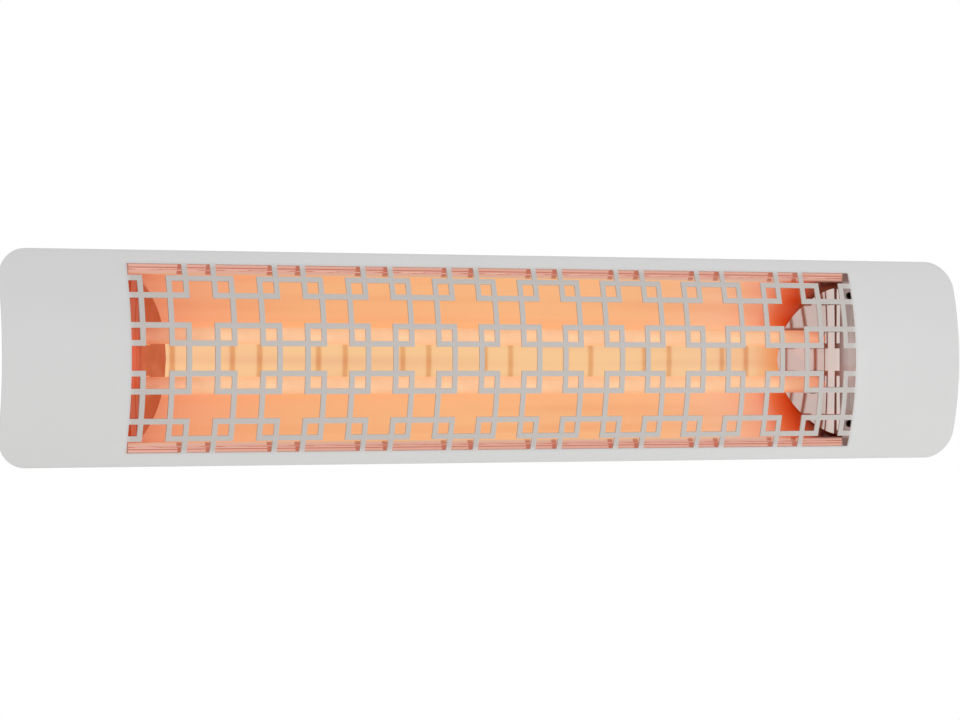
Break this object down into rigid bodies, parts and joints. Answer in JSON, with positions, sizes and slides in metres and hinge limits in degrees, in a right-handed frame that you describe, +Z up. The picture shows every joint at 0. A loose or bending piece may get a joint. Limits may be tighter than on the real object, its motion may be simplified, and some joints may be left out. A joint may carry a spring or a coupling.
{
  "type": "radiant heater",
  "caption": "Long infrared radiant heater: quartz tubes in a polished trough behind a curved fretwork face, on tilting wall brackets.",
  "frame": {"origin": "on the wall, at the centre of the rectangle of wall holes: midway between the two wall brackets and level with the tilt axis", "axes": "+X along the heater, towards the end with the wiring, +Y into the wall, +Z up. The fretwork faces -Y"},
  "size_m": [1, 0.16, 0.198],
  "materials": {
    "aluminised_steel": "dull aluminised steel sheet",
    "black_nylon": "moulded nylon",
    "black_screws": "black oxide",
    "brass": "plain turned brass",
    "glass_sleeved_lead": "braided glass-fibre sleeve over stranded wire",
    "glowing_coil": "resistance wire at bright orange heat",
    "green_earth_lead": "green braided sleeve with a yellow stripe",
    "grey_powder_coat": "fine grey powder coat on folded steel",
    "hot_quartz": "satin quartz, lit orange by the coil inside",
    "nickel_steel": "dull nickel",
    "polished_aluminium": "mirror-polished aluminium sheet",
    "satin_face_coating": "satin pale grey coating on steel sheet, warmed by the glow behind the fretwork",
    "silicone_gasket": "moulded silicone rubber",
    "spring_steel": "blued spring steel",
    "tinned_terminals": "tinned",
    "white_ceramic": "unglazed steatite",
    "zinc_plated_steel": "bright zinc plate"
  },
  "bodies": {
    "brackets": {"wall_bracket_left": "grey_powder_coat", "wall_bracket_right": "grey_powder_coat", "pivot_bolts": "zinc_plated_steel", "pivot_lock_nuts": "zinc_plated_steel", "pivot_sleeves": "zinc_plated_steel", "friction_washers": "spring_steel"},
    "heater": {"face_plate": "satin_face_coating", "face_plate_studs": "zinc_plated_steel", "face_plate_nuts": "zinc_plated_steel", "housing_pan": "grey_powder_coat", "end_panel_left": "grey_powder_coat", "end_panel_right": "grey_powder_coat", "end_panel_screws": "zinc_plated_steel", "reflector_trough": "polished_aluminium", "reflector_rivets": "zinc_plated_steel", "end_reflector_left": "polished_aluminium", "end_reflector_right": "polished_aluminium", "end_reflector_screws": "black_screws", "heat_shield": "aluminised_steel", "heat_shield_spacers": "white_ceramic", "heat_shield_screws": "zinc_plated_steel", "element_bracket_left": "zinc_plated_steel", "element_bracket_right": "zinc_plated_steel", "element_bracket_screws": "zinc_plated_steel", "tube_clips": "spring_steel", "tube_clip_rivets": "zinc_plated_steel", "upper_quartz_tube": "hot_quartz", "lower_quartz_tube": "hot_quartz", "upper_heating_coil": "glowing_coil", "lower_heating_coil": "glowing_coil", "coil_cold_pins": "nickel_steel", "ceramic_end_caps": "white_ceramic", "terminal_studs": "nickel_steel", "terminal_nuts": "zinc_plated_steel", "ring_terminals": "tinned_terminals", "jumper_lead": "glass_sleeved_lead", "upper_lead": "glass_sleeved_lead", "lower_lead": "glass_sleeved_lead", "earth_lead": "green_earth_lead", "terminal_block": "white_ceramic", "terminal_inserts": "brass", "terminal_clamp_screws": "zinc_plated_steel", "terminal_bracket": "zinc_plated_steel", "terminal_bracket_screws": "zinc_plated_steel", "earth_stud": "brass", "earth_nut": "brass", "service_cover": "grey_powder_coat", "service_cover_gasket": "silicone_gasket", "service_cover_screws": "zinc_plated_steel", "gland_body": "black_nylon", "gland_lock_nut": "black_nylon", "gland_seal": "silicone_gasket", "gland_cap": "black_nylon", "hinge_bracket_left": "grey_powder_coat", "hinge_bracket_right": "grey_powder_coat", "hinge_bracket_screws": "zinc_plated_steel", "hinge_bracket_nuts": "zinc_plated_steel", "pivot_bushes": "brass"}
  },
  "joints": [
    {"name": "tilt", "type": "hinge", "parent": "brackets", "child": "heater", "pos_m": [0, -0.05, 0], "axis": [1, 0, 0], "range_deg": [-45, 45]}
  ]
}
